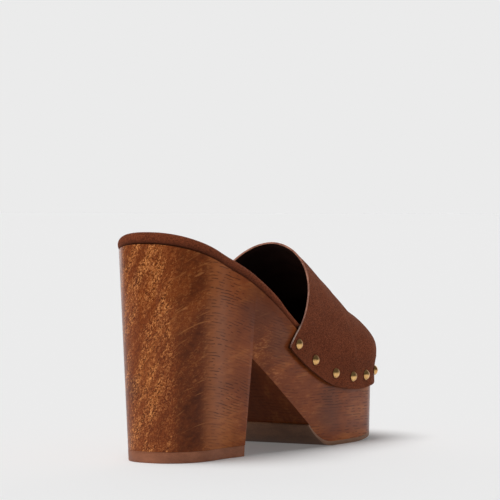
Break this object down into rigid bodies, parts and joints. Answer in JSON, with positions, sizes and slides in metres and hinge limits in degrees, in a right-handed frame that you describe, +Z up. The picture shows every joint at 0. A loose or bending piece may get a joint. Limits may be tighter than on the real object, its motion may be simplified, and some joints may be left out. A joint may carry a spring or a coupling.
{
  "type": "platform clog",
  "caption": "Backless right-foot platform clog: carved wooden platform with block heel, closed-toe suede upper nailed on with domed studs, padded footbed.",
  "frame": {"origin": "on the floor under the middle of the heel's tread", "axes": "+X towards the toe, +Y towards the inner side of the foot, +Z up"},
  "size_m": [0.2329, 0.0922, 0.1261],
  "materials": {
    "wood": "stained and lacquered, semi-gloss, fine figure and short dark pores",
    "upper_suede": "suede, short nap, matt",
    "footbed_suede": "suede over thin foam, matt",
    "top_piece_rubber": "smooth, satin",
    "outsole_rubber": "smooth, satin",
    "brass": "polished"
  },
  "bodies": {
    "root": {"wood_base": "wood", "heel_top_piece": "top_piece_rubber", "outsole": "outsole_rubber", "footbed": "footbed_suede", "upper": "upper_suede", "stud_01": "brass", "stud_02": "brass", "stud_03": "brass", "stud_04": "brass", "stud_05": "brass", "stud_06": "brass", "stud_07": "brass", "stud_08": "brass", "stud_09": "brass", "stud_10": "brass", "stud_11": "brass", "stud_12": "brass", "stud_13": "brass", "stud_14": "brass", "stud_15": "brass", "stud_16": "brass"}
  },
  "joints": []
}
